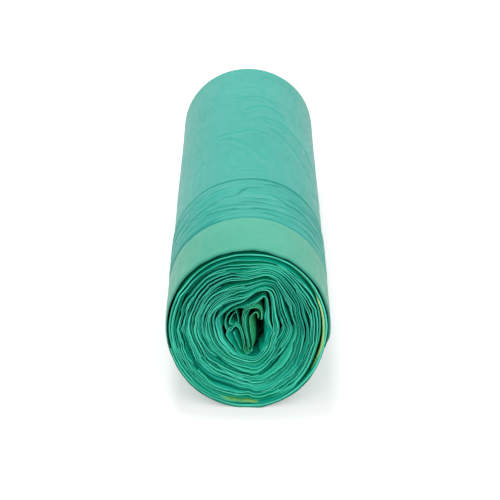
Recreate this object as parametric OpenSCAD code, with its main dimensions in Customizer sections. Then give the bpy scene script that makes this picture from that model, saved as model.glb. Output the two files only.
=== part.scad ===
// A roll of folded refuse sacks, wound without a core and lying on its side.
// The sacks hang together as one long strip of film, folded to the roll's length.
// The front end, at -Y, is the end that the hems of the sacks lie at.
// Clock angles are read on the front end: 0 at the top, growing clockwise.

/* [Winding] */
// Length of the roll along its axis
roll_l = 232; // [160:1:300]
// Full turns of the strip round the hollow
turns = 16; // [8:1:17]
// Thickness of the folded strip, all its plies together
strip_t = 0.65; // [0.4:0.05:1]
// Clock angle at which the strip's outer end lies
lap_at = 104; // [60:1:150]
// Gap between that end and the turn that it lies on
lap_gap = 0.3; // [0.2:0.1:0.8]
// Width of the flat spot that the roll lies on
flat_w = 9.5; // [4:0.5:14]

/* [Hollow] */
// Radius of the hollow between its corners
hollow_r = 10.3; // [8:0.1:13]
// How far the sharp upper corner reaches past the slopes beside it
upper_reach = 4.5; // [2:0.1:6]
// How far those slopes reach past the hollow's radius
slope_reach = 3; // [1:0.1:5]
// How far the lower corner reaches
lower_reach = 3; // [1:0.1:5]
// How far the round upper left side reaches
left_reach = 3.2; // [1:0.1:5]
// Height of the small waves pressed into the inner turns
crumple = 0.3; // [0:0.05:0.5]

/* [Ends] */
// Angle at which the front end leans back at the top
end_lean = 9; // [0:0.5:15]
// How far the edges of the turns stand in and out at both ends
edge_wave = 1; // [0:0.1:2]

/* [Hem and gathers] */
// Width of the hem band at the front end
hem_w = 38; // [25:1:50]
// How far the hem band stands proud
hem_rise = 0.3; // [0.1:0.05:0.8]
// Width of the gathered film behind the hem
gather_w = 44; // [20:1:60]
// Number of gathers across that width
gather_count = 9; // [4:1:10]
// Height of the tallest gather
gather_rise = 1; // [0.2:0.05:1.4]
// Height of the soft wrinkles in the rest of the film
wrinkle_rise = 0.35; // [0:0.05:0.6]

/* [Drawstring tape] */
// Thickness of the tape
tape_t = 0.2; // [0.1:0.05:0.4]
// Width of the tape along the roll
tape_w = 24; // [12:1:30]
// Room between the tape and the film on each side of it
tape_clear = 0.1; // [0.05:0.05:0.3]
// How far the tape's edge stands back from the film's edge
tape_inset = 0.3; // [0:0.1:1]
// Whole turns of film that lie outside the tape where it comes out of the hem
tape_depth = 2; // [2:1:3]
// Clock angle at which the tape comes out of the hem
tape_from = 172; // [150:1:240]
// Clock angle, most of a turn further on, at which it goes back in
tape_to = 125; // [40:1:130]

/* [Hidden] */

// Rings of points in each turn, inside and on the outermost turn
ring_steps = 36;
wrap_steps = 60;
// Rings between two points of the inner fold
fold_steps = 3;
// Clock angle at which the inner fold meets the first turn
join_at = 95;
// Share of the last turn in which the strip rises to the full radius
rise_share = 0.18;
// Share of the last turn in which the gathers and wrinkles fade in, and out at the lap
fade_share = 0.06;
// Length of the slopes that lead up to the hem and down from it
hem_slope = 3;
// Ridges of wrinkled film along the plain stretch
plain_lines = 5;
// Waves of the turns' edges: degrees of wave in one turn, slow and quick
slow_wave = 493;
quick_wave = 976;
// Where those waves start at the two ends of the roll
front_shift = 20;
back_shift = 160;

// The tape lies between turns, so the turns leave room for it where they are tightest.
turn_gap = tape_t + 2 * tape_clear;
tight_pitch = strip_t + turn_gap;
lap_pitch = strip_t + lap_gap;
windings = turns + (lap_at - join_at) / 360;
edge_round = strip_t / 2;

// Each bulge of the hollow: clock angle, reach, sharpness
bulges = [
    [27, upper_reach, 40],
    [27, slope_reach, 10],
    [172, lower_reach, 8],
    [292, left_reach, 4],
];
// The folded inner end of the strip, from its tip outwards: clock angle, share of the hollow
inner_fold = [
    [52, 0.55], [39, 0.58], [26, 0.58], [12, 0.61], [356, 0.66], [341, 0.45], [292, 0.12],
    [187, 0.33], [178, 0.63], [182, 0.81], [192, 0.74], [200, 0.53], [232, 0.32], [279, 0.32],
    [280, 0.43], [264, 0.57], [261, 0.71], [274, 0.77], [290, 0.77], [309, 0.84], [327, 0.89],
    [343, 0.91], [1, 0.85], [15, 0.82], [23, 0.93], [31, 0.92], [42, 0.88], [61, 0.91],
];

function clamp01(k) = min(1, max(0, k));
function mix(a, b, k) = a + (b - a) * k;
function ease(k) = let (c = clamp01(k)) c * c * (3 - 2 * c);
function at_clock(r, a) = [r * sin(a), r * cos(a)];
function total(list, i = 0) = i < len(list) ? list[i] + total(list, i + 1) : 0;

// Centreline of the innermost turn, as a radius at a clock angle
function hollow_at(a) =
    hollow_r
    + total([for (b = bulges) b[1] * pow((1 + cos(a - b[0])) / 2, b[2])])
    + crumple * (sin(5 * a + 40) + 0.6 * sin(9 * a));
hollow_max = max([for (a = [0:5:355]) hollow_at(a)]);

// Centreline of the strip where its last turn starts, under the lap, and where it ends
under_r = hollow_max + (windings - 1) * tight_pitch;
outer_r = under_r + lap_pitch;

// The last turn lies loosely: it rises early, and its end comes to lie on the turn below.
function turn_clock(t) = join_at + 360 * t;
function turn_r(t) =
    let (last = t - (windings - 1))
    last < 0
        ? mix(hollow_at(turn_clock(t)), under_r, t / (windings - 1))
        : under_r + lap_pitch * ease(last / rise_share);
function turn_at(t) = at_clock(turn_r(t), turn_clock(t));

// A smooth curve through hand-chosen points
function through(p0, p1, p2, p3, k) =
    p1 + 0.5 * k * (p2 - p0 + k * (2 * p0 - 5 * p1 + 4 * p2 - p3 + k * (3 * (p1 - p2) + p3 - p0)));

// The flat spot: the film is pressed flat over this angle on each side of the lowest point.
film_r = outer_r + strip_t / 2;
flat_half = asin(flat_w / 2 / film_r);
function last_turn_at(a) = windings - 1 + (a - lap_at) / 360;
flat_from = last_turn_at(180 - flat_half);
flat_to = last_turn_at(180 + flat_half);

// Turn positions of the rings: whole steps back from the start of the last turn, then that turn,
// which has a ring on each edge of the flat spot
inner_rings = floor((windings - 1) * ring_steps);
inner_turns = [for (i = [inner_rings:-1:0]) windings - 1 - i / ring_steps];
even_turns = [for (i = [1:wrap_steps]) windings - 1 + i / wrap_steps];
edge_room = 0.5 / wrap_steps;
wrap_turns = concat(
    [for (t = even_turns) if (t < flat_from - edge_room) t],
    [flat_from],
    [for (t = even_turns) if (t > flat_from + edge_room && t < flat_to - edge_room) t],
    [flat_to],
    [for (t = even_turns) if (t > flat_to + edge_room) t]
);

// The inner fold keeps half a strip inside the innermost turn.
function fold_at(f) = at_clock(f[1] * (hollow_at(f[0]) - strip_t / 2), f[0]);
fold_ends = [for (f = inner_fold) fold_at(f)];
fold_points = concat(
    [2 * fold_ends[0] - fold_ends[1]],
    fold_ends,
    [turn_at(inner_turns[0]), turn_at(inner_turns[3])]
);
fold_path = [
    for (i = [1:len(fold_points) - 3], j = [0:fold_steps - 1])
        let (p = [for (n = [-1:2]) fold_points[i + n]])
        through(p[0], p[1], p[2], p[3], j / fold_steps)
];
path = concat(fold_path, [for (t = inner_turns) turn_at(t)], [for (t = wrap_turns) turn_at(t)]);
path_turns = concat([for (p = fold_path) 0], inner_turns, wrap_turns);
narrow_rings = len(fold_path) + len(inner_turns);

// Outward direction of the strip at a ring
function outward(i) =
    let (
        a = path[max(0, i - 1)],
        b = path[min(len(path) - 1, i + 1)],
        d = (b - a) / norm(b - a)
    )
    [-d[1], d[0]];

// Place of the turns' edges along the roll, at a place [x, z] on the end
function wave(k, shift) =
    edge_wave * (0.6 * sin(slow_wave * k + shift) + 0.4 * sin(quick_wave * k + 2 * shift));
function front_edge(p, k) = tan(end_lean) * p[1] + wave(k, front_shift);
function back_edge(p, k) = roll_l + wave(k, back_shift);

// Below the centre, no turn hangs lower than its chord, and none reaches below the floor.
bottom_r = min([for (t = [flat_from, flat_to]) norm(turn_at(t))]) + strip_t / 2;
floor_z = -bottom_r * cos(flat_half);
function flatten(p) =
    let (
        r = norm(p),
        c = r > 0 ? -p[1] / r : 0,
        s = c > cos(flat_half) ? cos(flat_half) / c : 1
    )
    [p[0] * s, max(p[1] * s, floor_z)];

// A point at a depth across the strip and a place along the roll
function strip_point(i, across, y) =
    let (q = flatten(path[i] + outward(i) * across))
    [q[0], y, q[1]];

// A ring of the strip: round-edged at the front and the back
function ring(i, side) =
    let (
        front = front_edge(path[i], path_turns[i]),
        back = back_edge(path[i], path_turns[i]),
        h = strip_t / 2
    )
    concat(
        [strip_point(i, 0, back), strip_point(i, -h, back - edge_round)],
        [strip_point(i, -h, front + edge_round), strip_point(i, 0, front)],
        [for (q = side) strip_point(i, h + q[1], q[0])]
    );

// The outer side of the film: the hem, its seam, the gathers and the plain film
function show(k) = ease((k - windings + 1) / fade_share) * ease((windings - k) / fade_share);
function gather_line(n, a) =
    hem_w + gather_w / (2 * gather_count) * (n + 0.3 * sin(2 * a + 67 * n) + 0.5 * sin(a + 30));
function gather_height(n, a) =
    n % 2 == 0 ? 0 : gather_rise * (0.6 + 0.4 * sin(a * (1 + n % 3) + 83 * n));
function wrinkle(n, a) = wrinkle_rise * (0.5 + 0.5 * sin(a * (2 + n % 2) + 101 * n));
function outer_side(i) =
    let (
        p = path[i],
        k = path_turns[i],
        a = turn_clock(k),
        front = front_edge(p, k) + edge_round,
        back = back_edge(p, k) - edge_round,
        plain_from = hem_w + gather_w * 1.08,
        plain_step = (back - plain_from) / plain_lines
    )
    concat(
        [[front, 0]],
        [for (y = [front + hem_slope, hem_w - hem_slope]) [y, hem_rise * show(k)]],
        [for (n = [0:2 * gather_count]) [gather_line(n, a), gather_height(n, a) * show(k)]],
        [for (n = [0:plain_lines - 1]) [plain_from + n * plain_step, wrinkle(n, a) * show(k)]],
        [[back, 0]]
    );
function narrow_side(i) = [
    [front_edge(path[i], path_turns[i]) + edge_round, 0],
    [back_edge(path[i], path_turns[i]) - edge_round, 0],
];
narrow = 6;
wide = 4 + len(outer_side(narrow_rings));

roll_points = concat(
    [for (i = [0:narrow_rings - 1], q = ring(i, narrow_side(i))) q],
    [for (i = [narrow_rings:len(path) - 1], q = ring(i, outer_side(i))) q]
);
// Faces between two rings that have the same number of points
function band(from, n) =
    [for (j = [0:n - 1]) let (k = (j + 1) % n) [from + j, from + k, from + n + k, from + n + j]];
// Faces from the last narrow ring to the first wide one: its outer side fans out
first_wide = narrow_rings * narrow;
last_narrow = first_wide - narrow;
joint = concat(
    [for (j = [0:3]) [last_narrow + j, last_narrow + j + 1, first_wide + j + 1, first_wide + j]],
    [for (j = [4:wide - 2]) [last_narrow + 4, first_wide + j + 1, first_wide + j]],
    [[last_narrow + 4, last_narrow + 5, first_wide + wide - 1]],
    [[last_narrow + 5, last_narrow, first_wide, first_wide + wide - 1]]
);
last_wide = len(roll_points) - wide;
roll_faces = concat(
    [[for (j = [narrow - 1:-1:0]) j]],
    [for (i = [0:narrow_rings - 2], f = band(i * narrow, narrow)) f],
    joint,
    [for (i = [0:len(path) - narrow_rings - 2], f = band(first_wide + i * wide, wide)) f],
    [[for (j = [0:wide - 1]) last_wide + (j + 2) % wide]]
);

// The origin is under the middle of the roll, on the surface that it lies on.
function middle(points, axis) =
    (min([for (p = points) p[axis]]) + max([for (p = points) p[axis]])) / 2;
roll_origin = [middle(roll_points, 0), middle(roll_points, 1), floor_z];

// The tape lies midway between two turns and bends where they do. Its section has four corners.
tape_section = [[-1, 0], [1, 0], [1, 1], [-1, 1]];
tape_corners = len(tape_section);
tape_start = (last_turn_at(tape_from) - tape_depth - windings + 2) * ring_steps;
tape_length = (1 - (tape_from - tape_to) / 360) * ring_steps;
tape_turns = [
    for (n = [round(tape_start):round(tape_start + tape_length)]) windings - 1 + n / ring_steps
];
tape_points = [
    for (t = tape_turns)
        let (
            over = turn_at(t),
            under = turn_at(t - 1),
            mid = (over + under) / 2,
            side = (over - under) / norm(over - under),
            front = front_edge(mid, t) + tape_inset
        )
        for (q = tape_section)
            let (s = flatten(mid + side * q[0] * tape_t / 2))
            [s[0], front + q[1] * tape_w, s[1]]
];
tape_faces = concat(
    [[for (j = [tape_corners - 1:-1:0]) j]],
    [for (i = [0:len(tape_points) / tape_corners - 2], f = band(tape_corners * i, tape_corners)) f],
    [[for (j = [0:tape_corners - 1]) len(tape_points) - tape_corners + j]]
);

module bag_roll() {
    color("mediumaquamarine")
    translate(-roll_origin)
    polyhedron(roll_points, roll_faces);
}

module drawstring_tape() {
    color("khaki")
    translate(-roll_origin)
    polyhedron(tape_points, tape_faces);
}

bag_roll();
drawstring_tape();
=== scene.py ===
"""A roll of mint green refuse sacks on its side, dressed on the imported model.

Lengths here are millimetres and clock angles are degrees, read on the hem end: 0 at the top,
growing clockwise. A place on the film is (clock angle, distance along the roll from the hem
end's middle). The meshes are moved into the frame, in metres, when they are made.
"""
import math

import bpy
import numpy as np
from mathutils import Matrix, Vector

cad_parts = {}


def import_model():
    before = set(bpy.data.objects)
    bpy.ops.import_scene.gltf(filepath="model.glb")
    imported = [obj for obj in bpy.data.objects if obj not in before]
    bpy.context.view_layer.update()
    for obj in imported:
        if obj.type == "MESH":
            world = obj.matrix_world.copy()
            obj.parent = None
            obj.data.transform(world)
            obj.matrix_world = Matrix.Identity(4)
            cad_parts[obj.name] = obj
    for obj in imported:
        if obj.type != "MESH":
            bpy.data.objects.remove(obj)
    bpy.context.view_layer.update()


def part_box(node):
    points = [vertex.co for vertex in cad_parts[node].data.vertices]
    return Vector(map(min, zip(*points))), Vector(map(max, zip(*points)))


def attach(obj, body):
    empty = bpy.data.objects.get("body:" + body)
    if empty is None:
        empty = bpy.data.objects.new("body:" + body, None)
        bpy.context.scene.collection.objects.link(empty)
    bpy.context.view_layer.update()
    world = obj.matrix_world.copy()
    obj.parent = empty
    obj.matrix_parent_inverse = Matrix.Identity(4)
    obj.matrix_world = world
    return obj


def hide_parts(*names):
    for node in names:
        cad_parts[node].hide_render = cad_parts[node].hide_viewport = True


MM = 0.001

# The roll's driving sizes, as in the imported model
ROLL_L = 232.0
TURNS = 16
JOIN_AT = 95.0
LAP_AT = 104.0
STRIP_T = 0.65
UNDER_R = 33.62
LAP_PITCH = 0.95
OUTER_R = UNDER_R + LAP_PITCH
FILM_R = OUTER_R + STRIP_T / 2
FLAT_W = 9.5
END_LEAN = math.tan(math.radians(9.0))
EDGE_WAVE = 1.0
HEM_W = 38.0
HOLLOW_R = 10.3
CRUMPLE = 0.3
RISE_SHARE = 0.18
# Each bulge of the hollow: clock angle, reach, sharpness
BULGES = [(27, 4.5, 40), (27, 3.0, 10), (172, 3.0, 8), (292, 3.2, 4)]
# The folded inner end of the strip, from its tip outwards: clock angle, share of the hollow
INNER_FOLD = [
    (52, 0.55), (39, 0.58), (26, 0.58), (12, 0.61), (356, 0.66), (341, 0.45), (292, 0.12),
    (187, 0.33), (178, 0.63), (182, 0.81), (192, 0.74), (200, 0.53), (232, 0.32), (279, 0.32),
    (280, 0.43), (264, 0.57), (261, 0.71), (274, 0.77), (290, 0.77), (309, 0.84), (327, 0.89),
    (343, 0.91), (1, 0.85), (15, 0.82), (23, 0.93), (31, 0.92), (42, 0.88), (61, 0.91),
]
# The drawstring tape: its width, the clock angles where it starts and ends, and how many turns
# lie over it where it starts
TAPE_W = 24.0
TAPE_FROM = 172.0
TAPE_TO = 125.0
TAPE_DEPTH = 2
# How far the roll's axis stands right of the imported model's middle
AXIS_X = 0.06

# The photograph's camera: focal length in pixels, angle below level, distance from the hem end,
# height above the roll's axis, and the column of pixels that the roll's axis falls on
FRAME_PX = 500
FOCAL_PX = 1606.0
SENSOR_W = 36
CAMERA_PITCH = 25.765
CAMERA_BACK = 597.0
CAMERA_UP = 325.6
CENTRE_PX = 248.0

# Lamps: name, place in metres, size, power. All of them point at the origin.
LAMPS = [
    ("overhead", (-0.1, 0.28, 1.15), 0.3, 4.6),
    ("front", (0.1, -0.75, 0.95), 0.9, 2.8),
]
# Strength of the world: as light, and as seen by the camera and in reflections
WORLD_LIGHT = 0.73
WORLD_SEEN = 1.0
# The floor's half width in metres, how much light it throws back, with faint clouds, and how much
# it throws back and adds where it is seen, which makes it white
FLOOR_HALF = 3.0
FLOOR_CLOUDS = (0.54, 0.55)
FLOOR_SEEN = 0.7
FLOOR_GLOW = 0.4

# How strongly the film mirrors, and how rough the film and the tape are, from smooth to matt
FILM_SPECULAR = 0.22
FILM_ROUGH = (0.34, 0.5)
TAPE_ROUGH = (0.35, 0.5)
# Colours from 0 to 255. A pair holds the darker and the lighter clouds of one surface.
PLAIN_FILM = ((47, 166, 151), (62, 174, 159))
HEM_FILM = ((66, 169, 139), (82, 178, 150))
TEAL_TURNS = ((0, 170, 143), (4, 182, 155))
GREEN_TURNS = ((4, 174, 128), (20, 186, 138))
# Painted highlight for the folded edges of the turns
PAINTED_EDGE_HIGHLIGHT = (92, 244, 212)
YELLOW_FILM = (84, 190, 84)
# Painted shade for the creases and the rim of the outermost film
PAINTED_SHADE_COLOUR = (16, 130, 112)
BARE_TAPE = ((178, 226, 140), (222, 246, 186))
COVERED_TAPE = ((66, 176, 104), (134, 200, 112))


def noise(x, seed):
    """Smooth noise from -1 to 1, with one random value for each unit of x."""
    table = np.random.default_rng(seed).uniform(-1, 1, 1024)
    k = np.floor(x).astype(int)
    f = x - k
    f = f * f * (3 - 2 * f)
    return table[k % 1024] * (1 - f) + table[(k + 1) % 1024] * f


def noise2(u, v, seed):
    """Smooth noise from -1 to 1 over a plane."""
    table = np.random.default_rng(seed).uniform(-1, 1, (128, 128))
    a, b = np.floor(u).astype(int), np.floor(v).astype(int)
    f, g = u - a, v - b
    f = f * f * (3 - 2 * f)
    g = g * g * (3 - 2 * g)
    top = table[a % 128, b % 128] * (1 - f) + table[(a + 1) % 128, b % 128] * f
    low = table[a % 128, (b + 1) % 128] * (1 - f) + table[(a + 1) % 128, (b + 1) % 128] * f
    return top * (1 - g) + low * g


def ease(x):
    """A smooth step from 0 to 1 while x goes from 0 to 1."""
    x = np.clip(x, 0, 1)
    return x * x * (3 - 2 * x)


def at_clock(r, clock):
    """The place (x, z) on the hem end at a radius and a clock angle."""
    a = np.radians(clock)
    return np.stack([r * np.sin(a), r * np.cos(a)], axis=-1)


def bump(x, centre, width):
    """A smooth hill of height 1."""
    return np.exp(-(((x - centre) / width) ** 2))


# Winding: the strip's centreline, from the folded inner end to the lap

# Places of the gap field in one turn
STEPS = 720
# Wide gaps at the hem end: clock angle, radius, width in degrees, size in pitches
POCKETS = [
    (293, 26.9, 8, 1.3), (76, 26.5, 10, 1.1), (19, 24.4, 8, 0.8), (251, 27.0, 9, 0.8),
    (60, 20.5, 12, 0.9), (130, 19.5, 28, 1.5), (165, 17.0, 16, 0.8), (330, 21.0, 14, 0.5),
    (95, 14.5, 24, 1.3), (220, 22.0, 14, 0.9), (203, 27.8, 16, 0.9), (98, 33.0, 44, 1.3),
    (186, 32.4, 20, 0.7), (0, 31.0, 40, 0.7), (0, 34.5, 90, 0.7),
]
# Sharp bends of a turn: clock angle, radius, half width in degrees, height
KINKS = [
    (298, 29.6, 6, 1.0), (284, 27.6, 4, -0.7), (271, 27.0, 5, 0.8), (258, 27.0, 4, -0.6),
    (244, 27.0, 4, 0.6), (234, 27.6, 4, 0.7), (222, 26.6, 4, -0.5), (180, 29.0, 4, -0.8),
    (172, 25.0, 5, 0.5), (128, 22.6, 4, 0.5), (345, 24.5, 5, 0.5), (262, 24.0, 5, -0.6),
]
# Further small bends, scattered over the hem end
SCATTERED_KINKS = 34
# A kink also lifts the turns over it: turns further out, share of its height
CARRIED = ((0, 1.0), (1, 0.7), (2, 0.35))
# How unevenly the gaps run: size and waves in a turn, slow and quick
UNEVEN = [(0.40, 3.3), (0.28, 8.7), (0.12, 23.0)]
# Narrowest and widest gap, in even pitches
GAP_MIN = 0.6
GAP_MAX = 3.2
PITCH = 1.35
# Seeds of the gaps at the hem end and at the far end
HEM_SEED = 11
FAR_SEED = 41


def hollow_at(clock):
    """Centreline of the innermost turn, as a radius at a clock angle."""
    slow = np.sin(np.radians(5 * clock + 40))
    quick = np.sin(np.radians(9 * clock))
    r = HOLLOW_R + CRUMPLE * (slow + 0.6 * quick)
    for at, reach, sharpness in BULGES:
        r = r + reach * ((1 + np.cos(np.radians(clock - at))) / 2) ** sharpness
    return r


WINDINGS = TURNS + (LAP_AT - JOIN_AT) / 360


def deep_radius(t):
    """Radius inside the roll, where the turns lie evenly, at t turns from the join."""
    last = t - (WINDINGS - 1)
    inner = hollow_at(JOIN_AT + 360 * t)
    below = inner + (UNDER_R - inner) * t / (WINDINGS - 1)
    return np.where(last < 0, below, UNDER_R + LAP_PITCH * ease(last / RISE_SHARE))


def turn_near(clock, r):
    """The place along the winding, in turns, that lies nearest to a place on the end."""
    first = (clock - JOIN_AT) % 360 / 360
    inner = float(hollow_at(clock))
    n = round((r - inner) / (OUTER_R - inner) * WINDINGS - first)
    return first + max(0, n)


def scattered_kinks():
    """Small bends at random places, as rows of the kinks' table."""
    rng = np.random.default_rng(73)
    out = []
    for _ in range(SCATTERED_KINKS):
        clock = rng.uniform(0, 360)
        r = rng.uniform(15, 32)
        width = rng.uniform(2.5, 6)
        height = rng.uniform(-0.8, 0.9)
        out.append((clock, r, width, height))
    return out


def uneven_radius(t, seed, pockets=(), kinks=()):
    """Radius at an open end, where the gaps between the turns vary but never close."""
    gap = 1 + sum(size * noise(t * waves, seed + k) for k, (size, waves) in enumerate(UNEVEN))
    for clock, r, width, size in pockets:
        gap = gap + size * bump(t, turn_near(clock, r), width / 360)
    for clock, r, width, height in kinks:
        at = turn_near(clock, r)
        for later, share in CARRIED:
            lift = np.clip(1 - np.abs(t - at - later) * 360 / width, 0, 1) * height * share
            gap = gap + (lift - np.roll(lift, STEPS)) / PITCH
    # The last half turn before the end stands off a little more.
    gap = gap + 0.35 * ease((t - TURNS + 0.5) / 0.1) * ease((TURNS - 0.1 - t) / 0.1)
    gap = np.clip(gap, GAP_MIN, GAP_MAX)
    inner = hollow_at(JOIN_AT + 360 * t[:STEPS])
    outer = deep_radius(t[:STEPS] + TURNS - 1)
    whole = [n * STEPS for n in range(1, TURNS)]
    pitch = (outer[0] - inner[0]) / gap[whole].sum()
    last = (deep_radius(np.array([float(TURNS)]))[0] - outer[0]) / pitch
    gap = np.where(t >= TURNS, last, gap)
    # The gaps run over smoothly into the last one.
    blend = ease((t - TURNS + 0.08) / 0.08)
    gap = np.where(t < TURNS, gap * (1 - blend) + last * blend, gap)
    r = np.empty_like(t)
    r[:STEPS] = inner + pitch * gap[STEPS] * t[:STEPS]
    total = sum(gap[n * STEPS:(n + 1) * STEPS] for n in range(1, TURNS))
    scale = (outer - r[:STEPS]) / total
    for n in range(1, TURNS):
        here = slice(n * STEPS, (n + 1) * STEPS)
        below = slice((n - 1) * STEPS, n * STEPS)
        r[here] = r[below] + scale * gap[here]
    rest = len(t) - TURNS * STEPS
    start = (TURNS - 1) * STEPS
    r[TURNS * STEPS:] = r[start:start + rest] + pitch * last
    return r


def smooth_curve(points, spacing):
    """A curve through given points, with a point about every spacing."""
    p = np.vstack([2 * points[0] - points[1], points, 2 * points[-1] - points[-2]])
    out = []
    for i in range(1, len(p) - 2):
        steps = max(2, int(np.linalg.norm(p[i + 1] - p[i]) / spacing))
        k = (np.arange(steps) / steps)[:, None]
        a, b, c, d = p[i - 1], p[i], p[i + 1], p[i + 2]
        square = 2 * a - 5 * b + 4 * c - d
        cube = 3 * (b - c) + d - a
        out.append(b + 0.5 * k * (c - a + k * (square + k * cube)))
    return np.vstack(out)


def outward(path):
    """Unit vectors square to the path, on its outer side."""
    d = np.gradient(path, axis=0)
    d /= np.linalg.norm(d, axis=1)[:, None]
    return np.stack([-d[:, 1], d[:, 0]], axis=1)


class Winding:
    """The strip's centreline at the hem end, inside the roll and at the far end."""

    def __init__(self):
        t = np.arange(int(WINDINGS * STEPS) + 1) / STEPS
        clock = JOIN_AT + 360 * t
        hem_r = uneven_radius(t, HEM_SEED, POCKETS, KINKS + scattered_kinks())
        # The film dips a little under the lap.
        hem_r = hem_r - 0.4 * bump(t, 15.0, 0.09)
        turns = {
            "front": at_clock(hem_r, clock),
            "deep": at_clock(deep_radius(t), clock),
            "back": at_clock(uneven_radius(t, FAR_SEED), clock),
        }
        ends = np.array([
            at_clock(share * (float(hollow_at(at)) - STRIP_T / 2), at) for at, share in INNER_FOLD
        ])
        self.paths = {}
        for key, path in turns.items():
            fold = smooth_curve(np.vstack([ends, path[0], path[12]]), 0.25)
            half = len(fold) // 2
            fold = fold[:half + np.argmin(np.linalg.norm(fold[half:] - path[0], axis=1))]
            if key == "front":
                fold_count = len(fold)
            fold = fold[np.linspace(0, len(fold) - 1, fold_count).round().astype(int)]
            self.paths[key] = np.vstack([fold, path])
        steps = np.linalg.norm(np.diff(self.paths["front"], axis=0), axis=1)
        self.length = np.concatenate([[0], np.cumsum(steps)])
        inner = (self.length[:fold_count] - self.length[fold_count]) / (2 * math.pi * HOLLOW_R)
        self.t = np.concatenate([inner, t])
        self.fold_count = fold_count
        r = np.hypot(*turns["front"].T)
        # Room on the inner side of each place. The fold and the first turn have the open hollow
        # beside them, and the others have the turn below.
        fold_room = 0.9 + 1.8 * ease((inner + 0.16) / 0.06)
        first = t[:STEPS]
        first_room = 1.1 + 1.6 * ease((0.16 - first) / 0.06) + 1.7 * bump(first, 0.46, 0.14)
        first_room = first_room + 1.3 * ease((first - 0.86) / 0.05)
        self.room = np.concatenate([fold_room, first_room, r[STEPS:] - r[:-STEPS]])

    def near(self, clock, r):
        """The place along the winding, in turns, that lies nearest to a place on the hem end."""
        away = self.paths["front"] - at_clock(r, clock)
        return self.t[np.argmin(np.hypot(away[:, 0], away[:, 1]))]

    def rings(self, start, stop, spacing):
        """Indices of rings between two places along the winding, about a spacing apart."""
        inside = np.flatnonzero((self.t >= start) & (self.t <= stop))
        along = self.length[inside]
        wanted = np.arange(along[0], along[-1], spacing)
        picked = np.unique(np.searchsorted(along, wanted))
        return inside[np.append(picked[picked < len(inside) - 1], len(inside) - 1)]


# Waves of the strip's two edges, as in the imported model: degrees in one turn, slow and quick, and
# where they start at the hem end and at the far end
SLOW_WAVE = 493
QUICK_WAVE = 976
HEM_SHIFT = 20
FAR_SHIFT = 160


def edge_wave(t, shift):
    """How far an edge of the strip lies from its plain place along the roll."""
    slow = np.sin(np.radians(SLOW_WAVE * t + shift))
    quick = np.sin(np.radians(QUICK_WAVE * t + 2 * shift))
    return EDGE_WAVE * (0.6 * slow + 0.4 * quick)


def hem_edge(z, t):
    """Where the hem end of a turn lies along the roll. It leans back at the top and waves."""
    return END_LEAN * z + edge_wave(t, HEM_SHIFT)


def ragged_edge(z, t):
    """The same with the unevenness of single plies."""
    return hem_edge(z, t) + 0.5 * noise(t * 11.3, 5) + 0.25 * noise(t * 37, 6)


# Meshes

FLAT_COS = math.cos(math.asin(FLAT_W / 2 / FILM_R))


def flatten(points):
    """Presses what hangs lowest onto the flat spot that the roll lies on."""
    r = np.hypot(points[..., 0], points[..., 2])
    c = -points[..., 2] / np.maximum(r, 1e-6)
    s = np.where(c > FLAT_COS, FLAT_COS / np.maximum(c, 1e-6), 1)
    out = points.copy()
    out[..., 0] *= s
    out[..., 2] = np.maximum(out[..., 2] * s, -FILM_R * FLAT_COS)
    return out


def in_frame(points):
    """From the roll's axis, in millimetres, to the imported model's frame, in metres."""
    low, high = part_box("bag_roll")
    middle = np.array([AXIS_X, high[1] / MM - ROLL_L - EDGE_WAVE, FILM_R * FLAT_COS])
    return (points + middle) * MM


def shell_piece(name, shells):
    """A piece made of closed shells. A shell is a grid of points, where each row is a ring and
    the two end rows are caps, with its masks."""
    points, faces, values = [], [], {}
    count = 0
    for grid, masks in shells:
        rows, cols = grid.shape[:2]
        index = count + np.arange(rows * cols).reshape(rows, cols)
        turned = np.roll(index, -1, axis=1)
        quads = np.stack([index[:-1], index[1:], turned[1:], turned[:-1]], axis=-1).reshape(-1, 4)
        faces += quads.tolist() + [index[0].tolist(), index[-1, ::-1].tolist()]
        points.append(grid.reshape(-1, 3))
        for key, mask in masks.items():
            values.setdefault(key, []).append(np.clip(mask, 0, 1).astype(np.float32).ravel())
        count += rows * cols
    mesh = bpy.data.meshes.new(name)
    mesh.from_pydata(in_frame(flatten(np.vstack(points))).tolist(), [], faces)
    mesh.polygons.foreach_set("use_smooth", [True] * len(mesh.polygons))
    for key, parts in values.items():
        layer = mesh.attributes.new(key, "FLOAT", "POINT")
        layer.data.foreach_set("value", np.concatenate(parts))
    mesh.validate()
    mesh.update()
    piece = bpy.data.objects.new(name, mesh)
    bpy.context.scene.collection.objects.link(piece)
    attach(piece, "root")
    return piece


# Depths of a ply's rows behind its own edge. A ply that doesn't run through ends at the last.
EDGE_ROWS = [0.0, 0.06, 0.18, 0.45, 0.9, 1.5, 2.3, 3.5, 5.5, 9.0, 14.0]
# Depth over which an open end's uneven turns settle into the even ones inside the roll
SETTLE = 5.0
# Depths over which a ply thins out behind its edge, takes up its lean and loses its painted
# highlight
NOSE_REACH = 1.2
LEAN_REACH = 1.4
HIGHLIGHT_REACH = 0.3


def uneven_share(depth, settle=SETTLE):
    """How much of an open end's unevenness is left at a depth, from 1 at the edge."""
    return np.exp(-((np.maximum(depth, 0) / settle) ** 1.5))


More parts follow.
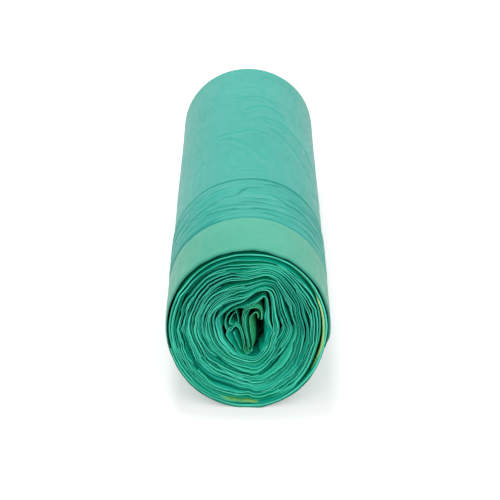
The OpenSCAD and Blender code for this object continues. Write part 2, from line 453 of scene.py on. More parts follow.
def ply(strand, rings, nose, body, lean, offset, front, set_back, highlight_and_tints, through=None,
        rows=EDGE_ROWS, settle=SETTLE):
    """The shell of one ply of film. Its edge is a rounded fold, nose thick, and behind it the
    film leans inwards. It runs through to the far end, or stops where it is hidden."""
    paths = {k: p[rings] for k, p in strand.items()}
    normals = {k: outward(p)[rings] for k, p in strand.items()}
    columns, edges = [], []

    def column(row, side, at_front):
        depth = row + (set_back if at_front else np.zeros(len(rings)))
        share = uneven_share(depth, settle)[:, None]
        open_end = "front" if at_front else "back"
        path = paths["deep"] + (paths[open_end] - paths["deep"]) * share
        normal = normals["deep"] + (normals[open_end] - normals["deep"]) * share
        thick = body + (nose - body) * math.exp(-row / NOSE_REACH)
        thick = thick * np.sqrt(np.clip(1 - (1 - np.minimum(row / nose, 1)) ** 2, 0, 1))
        shift = offset + side * thick
        if at_front:
            shift = shift - lean * (1 - np.exp(-depth / LEAN_REACH)) * share[:, 0]
        xz = path + normal * shift[:, None]
        y = front + depth if at_front else through - depth
        columns.append(np.stack([xz[:, 0], y, xz[:, 1]], axis=1))
        # The painted highlight is strongest at the edge and fades behind it.
        edges.append(np.full(len(rings), math.exp(-row / HIGHLIGHT_REACH)))

    for row in rows:
        column(row, 1, True)
    if through is not None:
        for row in rows[:0:-2]:
            column(row, 1, False)
        column(0.0, 1, False)
        for row in rows[2::2]:
            column(row, -1, False)
    for row in rows[:0:-1]:
        column(row, -1, True)
    grid = np.stack(columns, axis=1)
    edge = np.stack(edges, axis=1)
    glow, tint, yellow = (np.repeat(value[:, None], grid.shape[1], axis=1) for value in highlight_and_tints)
    # The edge mask is a painted highlight; the tint and yellow masks are the film's own colour.
    masks = {"hem": 0 * edge, "turns": 0 * edge + 1, "edge": edge * glow, "tint": tint,
             "yellow": yellow}
    return grid, masks


# Where the film leans in so far that it shows as a bright face: clock angle, radius, width
# in degrees, lean
FACES = [
    (88, 10.0, 42, 2.1), (130, 19.5, 30, 1.2), (165, 17.5, 20, 0.6), (205, 27.8, 16, 0.7),
    (40, 15.0, 14, 0.6), (220, 13.5, 30, 0.8), (290, 14.5, 30, 0.8), (100, 24.5, 20, 0.5),
    (8, 12.0, 24, 1.0), (130, 13.0, 30, 0.8), (345, 15.5, 20, 0.6), (70, 13.2, 34, 1.4),
    (285, 13.2, 36, 1.4), (240, 11.5, 34, 1.6),
]


def edge_highlight_and_tint(t, seed):
    """How strong the painted highlight on a ply's edge is along the winding, and how green its
    film.
    """
    glow = 0.55 + 0.8 * noise(t * 4.3, seed) + 0.4 * noise(t * 19, seed + 1)
    tint = 0.3 + 0.5 * noise(t * 3.1, seed + 2) + 0.3 * noise(t * 13, seed + 3)
    return glow, tint


# The kinds of ply in each turn, with the spacing of their rings: the folded edge that runs
# through the roll, and two short plies behind it
PLIES = (("fold", 0.7), ("inset", 0.8), ("lining", 0.9))
# Places along the winding: where the broad hem fold begins, where the lap lies on it, and where
# it narrows on its way under the outermost film
BROAD_FOLD = 14.2
UNDER_LAP = 15.0
NARROW_FOLD = 15.25


def turn_plies(winding, start, stop):
    """The plies of the turns between two places along the winding."""
    part = f"{start:.0f}" if start > 0 else "core"
    out = []
    for kind, spacing in PLIES:
        # The outermost turn is a piece of its own, and the folds reach a little way under it.
        end = WINDINGS - (0.58 if kind == "fold" else 1.0)
        rings = winding.rings(start, min(stop, end), spacing)
        t = winding.t[rings]
        z = winding.paths["front"][rings][:, 1]
        room = winding.room[rings]
        lean = (room - 0.6) * (0.62 + 0.25 * noise(t * 9.1, 8))
        for clock, r, width, more in FACES:
            lean = lean + more * bump(t, winding.near(clock, r), width / 360)
        lean = np.clip(lean, 0.1, np.maximum(room - 0.45, 0.35))
        outer = ease((t - 11) / 3)
        front = ragged_edge(z, t)
        glow, tint = edge_highlight_and_tint(t, 101)
        yellow = 0.3 * ease((-0.75 - t) / 0.15)
        if kind == "fold":
            nose = 0.16 + 0.12 * outer + 0.05 * noise(t * 17, 3)
            # The turn under the outermost one ends in a broad hem fold.
            nose = nose + 0.18 * ease((t - BROAD_FOLD) / 0.2) - 0.1 * ease((t - UNDER_LAP) / 0.1)
            nose = nose - 0.15 * ease((t - NARROW_FOLD) / 0.2)
            # The broad hem fold gets a stronger painted highlight.
            glow = glow + 0.6 * ease((t - BROAD_FOLD) / 0.2)
            through = ROLL_L + edge_wave(t, FAR_SHIFT) + 0.3 * noise(t * 13, 7)
            offset = -0.08 + 0.03 * noise(t * 8, 4) + 0.2 * ease((t - 14.3) / 0.2)
            offset = offset - 0.55 * ease((t - 14.97) / 0.06)
            shell = ply(winding.paths, rings, nose, 0.13 + 0 * t, lean, offset, front, 0 * t,
                        (glow, tint, yellow), through)
        elif kind == "inset":
            set_back = np.clip(0.8 + 0.8 * noise(t * 7.7, 15) + 0.2 * noise(t * 31, 16), 0.2, 3)
            shell = ply(winding.paths, rings, 0.1 + 0 * t, 0.07 + 0 * t, lean,
                        -0.42 + 0.05 * noise(t * 6, 14), front, set_back, (glow, tint, yellow))
        else:
            set_back = np.clip(2.2 + 1.5 * noise(t * 6.1, 25), 0.6, 5)
            # The lining's painted highlight is strong where the fold's is weak.
            shell = ply(winding.paths, rings, 0.1 + 0 * t, 0.06 + 0 * t, lean,
                        -0.62 + 0.05 * noise(t * 5, 24), front, set_back,
                        (1.3 - glow, tint, yellow))
        out.append(shell_piece(f"{kind}_{part}", [shell]))
    return out


# Short edges of film that cross from one turn to the next: how many, and how many rows each has
WISPS = 64
WISP_ROWS = 8


def wisps(winding):
    """Short plies that come out from under a turn's edge and cross to the next turn."""
    rng = np.random.default_rng(97)
    shells = []
    for n in range(WISPS):
        middle = rng.uniform(0.9, 14.6)
        reach = rng.uniform(4, 13) / (2 * math.pi * (HOLLOW_R + PITCH * middle))
        rings = winding.rings(middle - reach, middle + reach, 0.7)
        t = winding.t[rings]
        k = (t - t[0]) / (t[-1] - t[0])
        # Every second one crosses the other way.
        if n % 2:
            k = 1 - k
        room = winding.room[rings]
        z = winding.paths["front"][rings][:, 1]
        front = ragged_edge(z, t)
        offset = -0.2 - (room - 0.5) * ease(0.1 + 0.9 * k) * rng.uniform(0.7, 1)
        set_back = rng.uniform(-0.6, 0.1) + 0.9 * np.abs(2 * k - 1) ** 3
        # Wisps carry a strong painted highlight on their edges.
        glow = 1.2 + 0.3 * noise(t * 21, 55)
        tint = np.full(len(t), rng.uniform(0, 1))
        lean = 0.25 * np.clip(room - 0.5, 0, 1)
        shells.append(ply(winding.paths, rings, 0.15 + 0 * t, 0.08 + 0 * t, lean, offset, front,
                          set_back, (glow, tint, 0 * t), rows=EDGE_ROWS[:WISP_ROWS]))
    return [shell_piece("wisps", shells)]


# Loose film in the hollow. Each strand: places of its edge, places of the film behind it,
# how far the edge stands back from the hem end, yellow tint
CORE = {
    "centre_sheet": (
        [(4.3, 4.9), (4.1, 6.5), (3.2, 7.3), (1.9, 6.6), (0.8, 5.0), (0.7, 2.3), (1.1, -1.6),
         (1.7, -5.8), (1.6, -8.3), (0.6, -10.2)],
        [(5.2, 4.0), (5.2, 5.6), (4.0, 6.4), (3.2, 5.4), (2.6, 3.8), (2.9, 1.4), (3.3, -2.2),
         (3.3, -6.0), (2.6, -8.2), (1.2, -9.8)],
        0.5, 0.45),
    "centre_face": (
        [(0.6, 8.4), (-0.6, 7.0), (-1.3, 5.0), (-1.2, 1.4), (-0.6, -1.8), (0.1, -5.2),
         (0.6, -8.0)],
        [(1.9, 7.6), (0.9, 6.6), (0.4, 4.6), (0.4, 1.2), (0.8, -2.0), (1.2, -5.4), (1.2, -8.0)],
        0.5, 0.1),
    "belly": (
        [(-8.0, 0.4), (-9.2, -2.2), (-7.6, -5.3), (-5.7, -8.0), (-4.2, -10.1), (-2.5, -11.4),
         (-0.9, -11.6), (0.4, -10.7), (1.9, -9.0)],
        [(-6.6, 0.6), (-6.4, -2.0), (-5.2, -4.4), (-4.2, -6.8), (-3.2, -8.9), (-2.0, -10.2),
         (-1.0, -10.6), (0.2, -9.9), (1.6, -8.6)],
        0.3, 0.0),
    "belly_fold": (
        [(-6.2, -1.4), (-5.2, -4.2), (-3.9, -7.0), (-2.7, -9.6)],
        [(-4.6, -1.0), (-3.7, -3.8), (-2.6, -6.8), (-2.0, -9.4)],
        0.5, 0.0),
    "lobe_lining": (
        [(-5.2, 7.4), (-7.0, 5.2), (-8.0, 2.4), (-7.2, 1.3), (-6.2, 1.8)],
        [(-4.6, 6.4), (-6.0, 4.8), (-6.8, 2.8), (-6.4, 2.2), (-5.6, 2.4)],
        1.4, 0.0),
    "left_lining": (
        [(-11.4, 9.2), (-12.2, 6.2), (-12.2, 3.0), (-11.4, -0.2)],
        [(-9.2, 8.6), (-10.2, 6.0), (-10.3, 3.2), (-10.0, 0.6)],
        1.0, 0.0),
    "slip": (
        [(-5.4, 7.6), (-4.6, 5.6), (-4.2, 3.6), (-4.1, 2.2)],
        [(-5.0, 7.4), (-4.3, 5.4), (-3.9, 3.6), (-3.8, 2.2)],
        2.2, 0.0),
    "corner": (
        [(-4.8, 9.4), (-2.4, 9.0), (0.6, 9.9), (3.4, 11.2), (5.4, 13.0), (6.4, 13.6)],
        [(-4.6, 8.4), (-2.2, 8.0), (0.7, 8.7), (3.3, 9.8), (5.2, 11.7), (6.2, 12.6)],
        1.2, 0.0),
    "right_lining": (
        [(8.2, 13.0), (8.8, 8.6), (9.0, 5.0), (9.6, 1.0), (9.2, -3.4), (8.2, -7.4), (5.4, -10.4)],
        [(6.9, 12.4), (6.9, 8.4), (6.8, 5.0), (6.8, 1.0), (6.8, -3.2), (6.6, -7.2), (4.4, -9.8)],
        0.9, 0.0),
}
# Spacing of the points of a loose sheet's curve, the share of them that are kept, and the depth
# over which its edge runs over into the film behind it
CORE_SPACING = 0.1
CORE_KEPT = 0.35
CORE_SETTLE = 2.6


def core_strands():
    """The loose sheets of film that fill the hollow's mouth."""
    out = []
    for k, (name, (edge, behind, set_back, stain)) in enumerate(CORE.items()):
        front = smooth_curve(np.array(edge, float), CORE_SPACING)
        deep = smooth_curve(np.array(behind, float), CORE_SPACING)
        pick = np.linspace(0, 1, int(len(front) * CORE_KEPT))
        front = front[(pick * (len(front) - 1)).astype(int)]
        deep = deep[(pick * (len(deep) - 1)).astype(int)]
        rings = np.arange(len(front))
        y = END_LEAN * front[:, 1] + set_back + 0.35 * noise(pick * 7, 71 + k)
        strand = {"front": front, "deep": deep, "back": deep}
        flat = 0 * pick
        # The loose sheets carry a painted highlight on their edges as well.
        glow, tint = edge_highlight_and_tint(pick, 131 + k)
        shell = ply(strand, rings, flat + 0.16, flat + 0.1, flat, flat, y, flat,
                    (glow, tint, flat + stain), settle=CORE_SETTLE)
        out.append(shell_piece(name, [shell]))
    return out


# The outermost turn: hem band, gathers and plain film

# Where the plain film begins behind the gathers
PLAIN_FROM = 80.0
# Creases across the film, each a list of places on it: depth, which also sets how much painted
# shade the crease gets, half width, places
CREASES = [
    (1.00, 0.6, [(-250, 83), (-160, 82), (-78, 82), (-58, 80), (-34, 80), (-1, 80), (22, 81),
                  (44, 81.5), (62, 81), (90, 83), (120, 82)]),
    (0.75, 0.4, [(3, 76), (14, 75), (22, 77), (35, 79), (57, 79.4), (85, 80)]),
    (0.90, 0.5, [(-70, 50), (-50, 55), (-33, 58), (-19, 61), (-8, 62), (-5, 66), (5, 69),
                 (17, 71)]),
    (0.45, 0.4, [(-60, 66), (-40, 70), (-22, 71), (-6, 70)]),
    (0.80, 0.5, [(12, 66), (20, 64), (30, 60), (40, 61), (60, 60), (80, 57)]),
    (0.55, 0.35, [(-9, 65), (6, 65.2), (12, 66)]),
    (0.55, 0.35, [(-12, 57.7), (8, 57.9), (20, 58.6)]),
    (0.60, 0.4, [(-11, 54), (-3, 54), (7, 54), (22, 52)]),
    (0.75, 0.42, [(-75, 54), (-50, 51), (-32, 53), (-21, 52), (-11, 51), (5, 51), (14, 49)]),
    (0.80, 0.45, [(-70, 45), (-44, 47), (-30, 49), (-15, 47), (-1, 46), (6, 47), (24, 48),
                  (46, 52), (75, 54)]),
    (0.60, 0.4, [(-80, 41), (-60, 41), (-38, 40.5), (-24, 41), (-13, 42), (-2, 41.5), (6, 43),
                 (17, 43), (28, 43), (50, 45), (70, 46)]),
    (0.50, 0.35, [(-90, 73), (-66, 74), (-45, 72), (-30, 75)]),
    (0.55, 0.4, [(36, 70), (52, 71), (75, 72), (95, 70)]),
    (0.45, 0.35, [(-46, 62), (-30, 65), (-20, 66), (-10, 69)]),
    (0.45, 0.35, [(26, 67), (40, 66), (58, 66)]),
    (1.00, 0.6, [(-95, 39.8), (-60, 39.6), (-42, 39.2), (-30, 38.8)]),
    (0.80, 0.5, [(-44, 39.2), (-30, 38.8), (-16, 38.3)]),
    (0.80, 0.4, [(-30, 38.6), (-8, 38.2), (20, 38.3), (45, 38.2), (75, 38), (120, 38)]),
]
# Fine gathers that run right round the roll, fainter on the side that the photo shows
FINE_GATHERS = 12
# Soft wrinkles in the plain film: depth, half width, places
WRINKLES = [
    (0.30, 1.1, [(15, 222), (21, 220)]),
    (0.16, 0.8, [(-6, 201), (4, 202), (12, 200)]),
    (0.12, 1.0, [(-4, 194), (5, 193)]),
    (0.30, 1.1, [(-9, 185), (2, 188), (12, 188), (24, 182)]),
    (0.42, 1.2, [(-1, 168), (8, 174), (17, 176), (30, 170)]),
    (0.42, 1.2, [(13, 160), (28, 159), (36, 156), (50, 150), (66, 140)]),
    (0.36, 1.3, [(-21, 134), (-12, 130), (-6, 124), (2, 118), (12, 105)]),
    (0.28, 1.1, [(-24, 140), (-8, 138), (4, 141), (14, 138)]),
    (0.26, 1.1, [(8, 158), (18, 152), (30, 153)]),
    (0.15, 2.2, [(-53, 196), (-39, 169)]),
    (0.15, 2.2, [(-38, 115), (-26, 90)]),
    (0.26, 1.6, [(20, 146), (42, 130), (70, 108)]),
    (0.14, 0.8, [(-9, 95), (12, 94)]),
    (0.14, 0.8, [(-4, 90), (14, 89)]),
    (0.25, 2.6, [(-130, 150), (-100, 175), (-80, 190)]),
    (0.25, 2.6, [(100, 120), (60, 100)]),
    (0.25, 2.2, [(-200, 100), (-170, 140), (-150, 170)]),
]


# Spacing of the points of a stroke's curve, and the longest stretch over which it fades in
STROKE_SPACING = 7.0
TAPER = 12.0
# How deep the creases and the fine gathers are pressed, as a share of their depth
CREASE_SHARE = 0.7
GATHER_SHARE = 0.6


def drawn(strokes):
    """Strokes with a smooth curve through their places, in millimetres on the film."""
    out = []
    for depth, half, places in strokes:
        line = np.array([(math.radians(c) * FILM_R, v) for c, v in places])
        out.append((depth, half, np.vstack([smooth_curve(line, STROKE_SPACING), line[-1:]])))
    return out


def stroke(s, y, half, line):
    """How far a place on the film lies from a line, in half widths of the line."""
    d = np.diff(line, axis=0)
    along, over = s[:, None] - line[:-1, 0], y[:, None] - line[:-1, 1]
    k = np.clip((along * d[:, 0] + over * d[:, 1]) / (d * d).sum(axis=1), 0, 1)
    return np.hypot(along - k * d[:, 0], over - k * d[:, 1]).min(axis=1) / half


def tapered(s, line):
    """Share of its depth that a stroke keeps, less towards its two ends."""
    start, stop = line[0, 0], line[-1, 0]
    reach = min(TAPER, 0.25 * (stop - start))
    return ease((s - start) / reach) * ease((stop - s) / reach)


def groove(x):
    """Section of a groove with low shoulders."""
    return 0.3 * np.exp(-(((x - 2.1) / 1.1) ** 2)) - np.exp(-x * x)


def fine_gathers():
    """Fine gathers at even steps along the roll, each of which wanders, as rows like CREASES."""
    rng = np.random.default_rng(83)
    clocks = np.arange(-260, 120, 20)
    out = []
    for k in range(FINE_GATHERS):
        level = 42 + 3.1 * k + rng.uniform(-0.8, 0.8)
        wander = 2.2 * noise(clocks / 47, 150 + k) + 0.8 * noise(clocks / 21, 170 + k)
        places = list(zip(clocks, np.clip(level + wander, 40.5, 79.5)))
        out.append((rng.uniform(0.5, 0.8), 0.45, places))
    return out


CREASE_LINES = drawn(CREASES)
GATHER_LINES = drawn(fine_gathers())
WRINKLE_LINES = drawn(WRINKLES)


def relief(clock, y):
    """Height of the outermost film over its plain radius, and how much painted shade its creases
    get.
    """
    s = np.radians(clock) * FILM_R
    band = ease((HEM_W + 1 - y) / 4) * ease((y + 8) / 6)
    gathers = ease((y - HEM_W) / 4) * ease((PLAIN_FROM - 0.5 - y) / 3)
    plain = ease((y - PLAIN_FROM) / 6)
    bend = 2.5 * noise2(s / 30, y / 30, 61) + 1.2 * noise2(s / 11, y / 14, 62)
    ridges = 1 - 2 * np.abs(noise2(s / 34, (y + bend) / 2.6, 63))
    fine = 1 - 2 * np.abs(noise2(s / 17, (y + bend) / 1.3, 64))
    # The gathers are lower on the two flanks.
    flank = 1 - 0.65 * (ease((np.abs(clock) - 32) / 22) - ease((np.abs(clock) - 95) / 20))
    h = 0.30 * band + gathers * (0.35 + (0.22 * ridges + 0.10 * fine) * flank)
    h = h + plain * (0.16 * noise2(s / 19, y / 33, 65) + 0.05 * noise2(s / 6, y / 16, 66))
    h = h + band * (0.12 * noise2(s / 12, y / 9, 67) + 0.05 * noise2(s / 4, y / 5, 68))
    painted_shade = 0 * s
    # The gathers wander; the two lines that bound them run smoothly.
    wander = 0.7 * noise2(s / 8, y / 9, 69) + 0.35 * noise2(s / 3.5, y / 6, 70)
    wandered = y + wander * ease((y - 40) / 3) * ease((78 - y) / 3)
    for depth, half, line in CREASE_LINES:
        x = stroke(s, wandered, half, line)
        depth = depth * tapered(s, line)
        h = h + CREASE_SHARE * depth * groove(x) * flank
        # Painted shade along each crease.
        painted_shade = np.maximum(painted_shade, depth * np.exp(-x * x))
    hidden = 1 - 0.75 * bump(clock, 0, 75)
    for depth, half, line in GATHER_LINES:
        x = stroke(s, wandered, half, line)
        h = h + GATHER_SHARE * depth * groove(x) * hidden
        # Fainter painted shade along each fine gather.
        painted_shade = np.maximum(painted_shade, 0.5 * depth * hidden * np.exp(-x * x))
    for depth, half, line in WRINKLE_LINES:
        h = h + depth * groove(stroke(s, y + wander, half, line))
    return h, painted_shade


# The outermost film's thickness, how far it lies outside the strip's centreline, and how far it
# sinks onto the turn below at the lap
FILM_T = 0.13
LIFT = 0.26
LAP_SINK = 1.0
# The clock angles between which the photo shows it, and the degrees between its rings there and
# elsewhere
SEEN_FROM = -95
SEEN_TO = 92
FINE_STEP = 1.3
COARSE_STEP = 2.0
# Its outer side has rows at these depths behind the hem end, then those of wrap_rows(), which no
# longer follow the wavy end from a certain place on, then rows at these depths before the far end.
END_ROWS = (0.08, 0.3, 0.8, 1.5, 2.3)
STRAIGHT_FROM = 20
FAR_ROWS = (1.6, 0.7, 0.2)
# Its inner side has rows at these depths from the far end and from the hem end.
INNER_FAR_ROWS = (0.3, 2, 6, 14)
INNER_HEM_ROWS = (14, 6, 2, 0.8, 0.15)


def wrap_rows():
    """Places of the rows along the outermost film, closest over the gathers."""
    hem = np.arange(3.0, 36, 1.0)
    gathers = np.arange(36, 85, 0.27)
    plain = np.arange(85, ROLL_L - 2, 1.0)
    return np.concatenate([hem, gathers, plain])


def outer_wrap(winding):
    """The outermost turn of film, from where it covers the turn below to the lap."""
    clocks = []
    at = LAP_AT - 360
    while at < LAP_AT:
        clocks.append(at)
        at += FINE_STEP if SEEN_FROM < at < SEEN_TO else COARSE_STEP
    clocks.append(LAP_AT)
    clock = np.array(clocks)
    t = TURNS + (clock - JOIN_AT) / 360
    index = np.clip(np.round(t * STEPS).astype(int), 0, len(winding.t) - winding.fold_count - 1)
    index = index + winding.fold_count
    r = {k: np.hypot(p[index, 0], p[index, 1]) for k, p in winding.paths.items()}
    # The last stretch shows more plies at its edge and thins out at the lap.
    close = ease((clock - 50) / 45)
    last = ease((clock - 96) / 8)
    z = r["front"] * np.cos(np.radians(clock))
    ripple = 0.5 * noise(t * 29, 21) + 0.35 * noise(t * 71, 22)
    # At the bottom the film stands out a little and isn't drawn in.
    foot = bump(clock, -180, 55)
    front = END_LEAN * z + edge_wave(t, HEM_SHIFT) * 0.5 + 0.45 - 1.2 * foot + ripple
    back = ROLL_L + edge_wave(t, FAR_SHIFT) + 0.3 * noise(t * 17, 23)
    fade = ease((clock - LAP_AT + 360) / 14)

    def radius(depth_front, depth_back):
        a = uneven_share(depth_front)
        b = uneven_share(depth_back)
        drawn_in = 0.3 * (1 - foot) * np.exp(-depth_front / 1.5)
        middle = r["deep"] + (r["front"] - r["deep"]) * a + (r["back"] - r["deep"]) * b
        return middle + LIFT - drawn_in - LAP_SINK * last

    def outside(y):
        depth_front, depth_back = np.maximum(y - front, 0), np.maximum(back - y, 0)
        edge = ease(depth_front / 2.0) * ease(depth_back / 2.0)
        height, painted_shade = relief(clock, y)
        return radius(depth_front, depth_back) + FILM_T / 2 + height * fade * edge, painted_shade

    columns = []
    hems = []
    # Painted shade for each row of the outermost film
    painted_shade_rows = []

    def add(y, radii, painted_shade=None):
        xz = at_clock(radii, clock)
        columns.append(np.stack([xz[:, 0], y, xz[:, 1]], axis=1))
        hems.append(ease((HEM_W - 0.6 - y) / 1.6))
        painted_shade_rows.append(0 * clock if painted_shade is None else painted_shade)

    def inside(y):
        depth_front, depth_back = np.maximum(y - front, 0), np.maximum(back - y, 0)
        thick = 0.6 * (1 - np.exp(-np.minimum(depth_front, depth_back) / 1.5))
        thick = np.maximum(thick, 0.7 * close) * (1 - 0.85 * last)
        return radius(depth_front, depth_back) - FILM_T / 2 - thick

    # Painted shade darkens the rim of the outermost film.
    add(front, radius(0, back - front), 0 * clock + 0.7)
    for depth in END_ROWS:
        y = front + depth
        radii, painted_shade = outside(y)
        # Painted shade in the creases, and more along the rim.
        add(y, radii, painted_shade + 0.9 * math.exp(-((depth / 1.1) ** 2)))
    reach = STRAIGHT_FROM - END_ROWS[-1]
    for row in wrap_rows():
        bent = front + END_ROWS[-1] + (row - END_ROWS[-1]) / reach * (reach - front)
        y = np.where(row < STRAIGHT_FROM, bent, row)
        add(y, *outside(y))
    for depth in FAR_ROWS:
        y = back - depth
        add(y, *outside(y))
    add(back, radius(back - front, 0))
    for depth in INNER_FAR_ROWS:
        y = back - depth
        add(y, inside(y))
    for depth in INNER_HEM_ROWS:
        y = front + depth
        # Painted shade on the inside of the rim.
        add(y, inside(y), 0 * clock + 0.6 * math.exp(-depth))
    grid = np.stack(columns, axis=1)
    none = np.zeros(grid.shape[:2])
    masks = {"hem": np.stack(hems, axis=1), "turns": none, "edge": none, "tint": none,
             "yellow": none, "painted_shade": np.stack(painted_shade_rows, axis=1)}
    return shell_piece("outer_wrap", [(grid, masks)])


# Rows round the tape's section: depth behind its edge, side
TAPE_ROWS = [
    (0, 0), (0.12, 1), (0.5, 1), (1.5, 1), (4, 1), (9, 1), (TAPE_W, 1),
    (TAPE_W, -1), (9, -1), (4, -1), (1.5, -1), (0.5, -1), (0.12, -1),
]


def tape(winding):
    """The stretch of drawstring tape between two of the outer turns."""
    start = WINDINGS - TAPE_DEPTH + (TAPE_FROM - LAP_AT) / 360
    stop = start + 1 - (TAPE_FROM - TAPE_TO) / 360
    t = np.arange(start, stop, 2 / STEPS)
    clock = JOIN_AT + 360 * t
    index = np.round(t * STEPS).astype(int) + winding.fold_count
    path = {}
    for key, points in winding.paths.items():
        path[key] = (points[index] * 0.5 + points[index - STEPS] * 0.5)
    # The tape shows bare on the right and through film at the bottom.
    turned = clock % 360
    bare = ease((turned - 60) / 8) * ease((125 - turned) / 28)
    veiled = 0.8 * ease((turned - 165) / 12) * ease((208 - turned) / 14)
    shown = bare + veiled
    # Where it shows, it reaches the hem end.
    front = hem_edge(path["front"][:, 1], t) + 1.6 - 2.3 * shown + 0.25 * noise(t * 31, 31)
    half = 0.12 + 0.16 * shown + 0.05 * noise(t * 41, 33)
    lean = 0.8 * shown
    columns = []
    for depth, side in TAPE_ROWS:
        share = uneven_share(depth)
        middle = path["deep"] + (path["front"] - path["deep"]) * share
        inwards = lean * (1 - math.exp(-depth / 1.1)) * share
        xz = middle + at_clock(side * half + 0.25 * shown - inwards, clock)
        columns.append(np.stack([xz[:, 0], front + depth, xz[:, 1]], axis=1))
    grid = np.stack(columns, axis=1)
    shade = np.repeat((1 - bare)[:, None], grid.shape[1], axis=1)
    return shell_piece("tape_strip", [(grid, {"shade": shade})])


# Materials

def linear(r, g, b):
    """A colour written in 0 to 255, as the shader wants it."""
    def one(c):
        c = c / 255
        return c / 12.92 if c <= 0.04045 else ((c + 0.055) / 1.055) ** 2.4
    return (one(r), one(g), one(b), 1.0)


class Nodes:
    """Short calls for building a node tree."""

    def __init__(self, name):
        self.material = bpy.data.materials.new(name)
        self.material.use_nodes = True
        self.tree = self.material.node_tree
        self.shader = self.tree.nodes["Principled BSDF"]

    def new(self, kind, **settings):
        node = self.tree.nodes.new(kind)
        for key, value in settings.items():
            setattr(node, key, value)
        return node

    def link(self, a, b):
        self.tree.links.new(a, b)

    def noise(self, vector, scale, detail=3.0, roughness=0.55):
        node = self.new("ShaderNodeTexNoise")
        node.inputs["Scale"].default_value = scale
        node.inputs["Detail"].default_value = detail
        node.inputs["Roughness"].default_value = roughness
        self.link(vector, node.inputs["Vector"])
        return node.outputs["Fac"]

    def stretched(self, scale):
        place = self.new("ShaderNodeTexCoord")
        mapping = self.new("ShaderNodeMapping")
        mapping.inputs["Scale"].default_value = scale
        self.link(place.outputs["Object"], mapping.inputs["Vector"])
        return mapping.outputs["Vector"]

    def ramp(self, value, low, high, at=(0.35, 0.65)):
        node = self.new("ShaderNodeValToRGB")
        node.color_ramp.elements[0].position = at[0]
        node.color_ramp.elements[1].position = at[1]
        node.color_ramp.elements[0].color = low
        node.color_ramp.elements[1].color = high
        self.link(value, node.inputs["Fac"])
        return node.outputs["Color"]

    def clouded(self, value, pair):
        """A ramp between the darker and the lighter clouds of one surface."""
        return self.ramp(value, linear(*pair[0]), linear(*pair[1]))

    def mix(self, factor, a, b):
        node = self.new("ShaderNodeMix", data_type="RGBA")
        self.link(factor, node.inputs["Factor"])
        for value, socket in ((a, node.inputs["A"]), (b, node.inputs["B"])):
            if isinstance(value, tuple):
                socket.default_value = value
            else:
                self.link(value, socket)
        return node.outputs["Result"]

    def attribute(self, name):
        return self.new("ShaderNodeAttribute", attribute_name=name).outputs["Fac"]

    def roughness(self, value, low, high):
        node = self.new("ShaderNodeMapRange")
        node.inputs["From Min"].default_value = 0.3
        node.inputs["From Max"].default_value = 0.7
        node.inputs["To Min"].default_value = low
        node.inputs["To Max"].default_value = high
        self.link(value, node.inputs["Value"])
        self.link(node.outputs["Result"], self.shader.inputs["Roughness"])

    def bump(self, value, strength, distance):
        node = self.new("ShaderNodeBump")
        node.inputs["Strength"].default_value = strength
        node.inputs["Distance"].default_value = distance
        self.link(value, node.inputs["Height"])
        self.link(node.outputs["Normal"], self.shader.inputs["Normal"])


def film_material():
    """Thin mint green polythene, greener where the hem doubles it over the tape, with a painted
    highlight on the turns' edges and painted shade in the creases and at the outer rim.
    """
    n = Nodes("film")
    cloud = n.noise(n.stretched((1, 1, 1)), 26, 4)
    plain = n.clouded(cloud, PLAIN_FILM)
    hem = n.clouded(cloud, HEM_FILM)
    teal = n.clouded(cloud, TEAL_TURNS)
    green = n.clouded(cloud, GREEN_TURNS)
    colour = n.mix(n.attribute("hem"), plain, hem)
    colour = n.mix(n.attribute("turns"), colour, n.mix(n.attribute("tint"), teal, green))
    # Painted highlight on the edges of the turns
    colour = n.mix(n.attribute("edge"), colour, linear(*PAINTED_EDGE_HIGHLIGHT))
    colour = n.mix(n.attribute("yellow"), colour, linear(*YELLOW_FILM))
    # Painted shade in the creases and at the rim of the outermost film
    colour = n.mix(n.attribute("painted_shade"), colour, linear(*PAINTED_SHADE_COLOUR))
    n.link(colour, n.shader.inputs["Base Color"])
    grain = n.noise(n.stretched((1, 0.35, 1)), 420, 5, 0.6)
    n.roughness(grain, *FILM_ROUGH)
    # The edges of the turns are crinkled more finely than the outside.
    crinkle = n.noise(n.stretched((1, 0.3, 1)), 700, 4, 0.6)
    rough = n.new("ShaderNodeMath", operation="MULTIPLY_ADD")
    n.link(n.attribute("turns"), rough.inputs[0])
    n.link(crinkle, rough.inputs[1])
    n.link(grain, rough.inputs[2])
    n.bump(rough.outputs[0], 0.3, 0.0004)
    n.shader.inputs["Specular IOR Level"].default_value = FILM_SPECULAR
    return n.material


def tape_material():
    """Pale yellow tape, greener where film lies over it."""
    n = Nodes("tape")
    streak = n.noise(n.stretched((1, 1, 1)), 160, 3)
    bare = n.clouded(streak, BARE_TAPE)
    covered = n.clouded(streak, COVERED_TAPE)
    n.link(n.mix(n.attribute("shade"), bare, covered), n.shader.inputs["Base Color"])
    n.roughness(streak, *TAPE_ROUGH)
    n.bump(streak, 0.2, 0.0002)
    return n.material


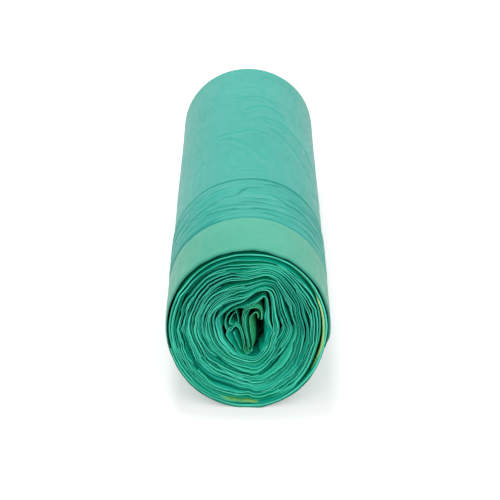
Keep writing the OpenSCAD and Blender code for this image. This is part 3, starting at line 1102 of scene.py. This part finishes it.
def floor_material():
    """A floor that the camera and reflections see white, with the roll's soft shadow on it. It
    throws back only about half of the light that falls on it."""
    n = Nodes("floor")
    grain = n.noise(n.stretched((1, 1, 1)), 6, 2)
    low, high = ((level, level, level, 1) for level in FLOOR_CLOUDS)
    plain = n.ramp(grain, low, high)
    n.shader.inputs["Roughness"].default_value = 0.9
    n.shader.inputs["Specular IOR Level"].default_value = 0.0
    rays = n.new("ShaderNodeLightPath")
    seen = n.new("ShaderNodeMath", operation="MAXIMUM")
    n.link(rays.outputs["Is Camera Ray"], seen.inputs[0])
    n.link(rays.outputs["Is Glossy Ray"], seen.inputs[1])
    white = (FLOOR_SEEN, FLOOR_SEEN, FLOOR_SEEN, 1)
    n.link(n.mix(seen.outputs[0], plain, white), n.shader.inputs["Base Color"])
    glow = n.new("ShaderNodeEmission")
    glow.inputs["Color"].default_value = (1, 1, 1, 1)
    strength = n.new("ShaderNodeMath", operation="MULTIPLY")
    n.link(seen.outputs[0], strength.inputs[0])
    strength.inputs[1].default_value = FLOOR_GLOW
    n.link(strength.outputs[0], glow.inputs["Strength"])
    both = n.new("ShaderNodeAddShader")
    n.link(n.shader.outputs[0], both.inputs[0])
    n.link(glow.outputs[0], both.inputs[1])
    out = n.tree.nodes["Material Output"]
    n.link(both.outputs[0], out.inputs["Surface"])
    return n.material


# Stage

def floor():
    mesh = bpy.data.meshes.new("floor")
    half = FLOOR_HALF
    corners = [(-half, -half, 0), (half, -half, 0), (half, half, 0), (-half, half, 0)]
    mesh.from_pydata(corners, [], [(0, 1, 2, 3)])
    obj = bpy.data.objects.new("floor", mesh)
    bpy.context.scene.collection.objects.link(obj)
    mesh.materials.append(floor_material())


def world():
    w = bpy.data.worlds.new("studio")
    bpy.context.scene.world = w
    w.use_nodes = True
    tree = w.node_tree
    back = tree.nodes["Background"]
    back.inputs["Color"].default_value = (1, 1, 1, 1)
    rays = tree.nodes.new("ShaderNodeLightPath")
    seen = tree.nodes.new("ShaderNodeMath")
    seen.operation = "MAXIMUM"
    tree.links.new(rays.outputs["Is Camera Ray"], seen.inputs[0])
    tree.links.new(rays.outputs["Is Glossy Ray"], seen.inputs[1])
    level = tree.nodes.new("ShaderNodeMapRange")
    level.inputs["To Min"].default_value = WORLD_LIGHT
    level.inputs["To Max"].default_value = WORLD_SEEN
    tree.links.new(seen.outputs[0], level.inputs["Value"])
    tree.links.new(level.outputs["Result"], back.inputs["Strength"])


def lamp(name, place, size, power):
    """A round soft lamp that points at the origin."""
    data = bpy.data.lights.new(name, "AREA")
    data.shape = "DISK"
    data.size = size
    data.energy = power
    obj = bpy.data.objects.new(name, data)
    bpy.context.scene.collection.objects.link(obj)
    obj.location = place
    x, y, z = place
    yaw = math.atan2(y, x) + math.pi / 2
    obj.rotation_euler = (math.atan2(math.hypot(x, y), z), 0, yaw)


def camera():
    """The photograph's camera, which looks along the roll and down at it."""
    low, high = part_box("bag_roll")
    front = high[1] - (ROLL_L + EDGE_WAVE) * MM
    data = bpy.data.cameras.new("camera")
    data.sensor_width = SENSOR_W
    data.lens = FOCAL_PX / FRAME_PX * data.sensor_width
    data.shift_x = (FRAME_PX / 2 - CENTRE_PX) / FRAME_PX
    obj = bpy.data.objects.new("camera", data)
    bpy.context.scene.collection.objects.link(obj)
    obj.location = (0, front - CAMERA_BACK * MM, (FILM_R * FLAT_COS + CAMERA_UP) * MM)
    obj.rotation_euler = (math.radians(90 - CAMERA_PITCH), 0, 0)
    bpy.context.scene.camera = obj


# Places along the winding where the turns are cut into pieces, to keep each piece small
CUTS = [4.0, 7.5, 10.5, 13.2]


def build():
    """Makes all the pieces, gives them their materials and hides the imported solids that they
    stand in for.
    """
    winding = Winding()
    film = film_material()
    cuts = [winding.t[0]] + CUTS + [WINDINGS]
    pieces = core_strands() + wisps(winding) + [outer_wrap(winding)]
    for start, stop in zip(cuts[:-1], cuts[1:]):
        pieces += turn_plies(winding, start, stop)
    for piece in pieces:
        piece.data.materials.append(film)
        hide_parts("bag_roll")
    strip = tape(winding)
    strip.data.materials.append(tape_material())
    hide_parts("drawstring_tape")


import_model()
bpy.context.scene.view_settings.view_transform = "Standard"
camera()
build()
floor()
world()
for settings in LAMPS:
    lamp(*settings)
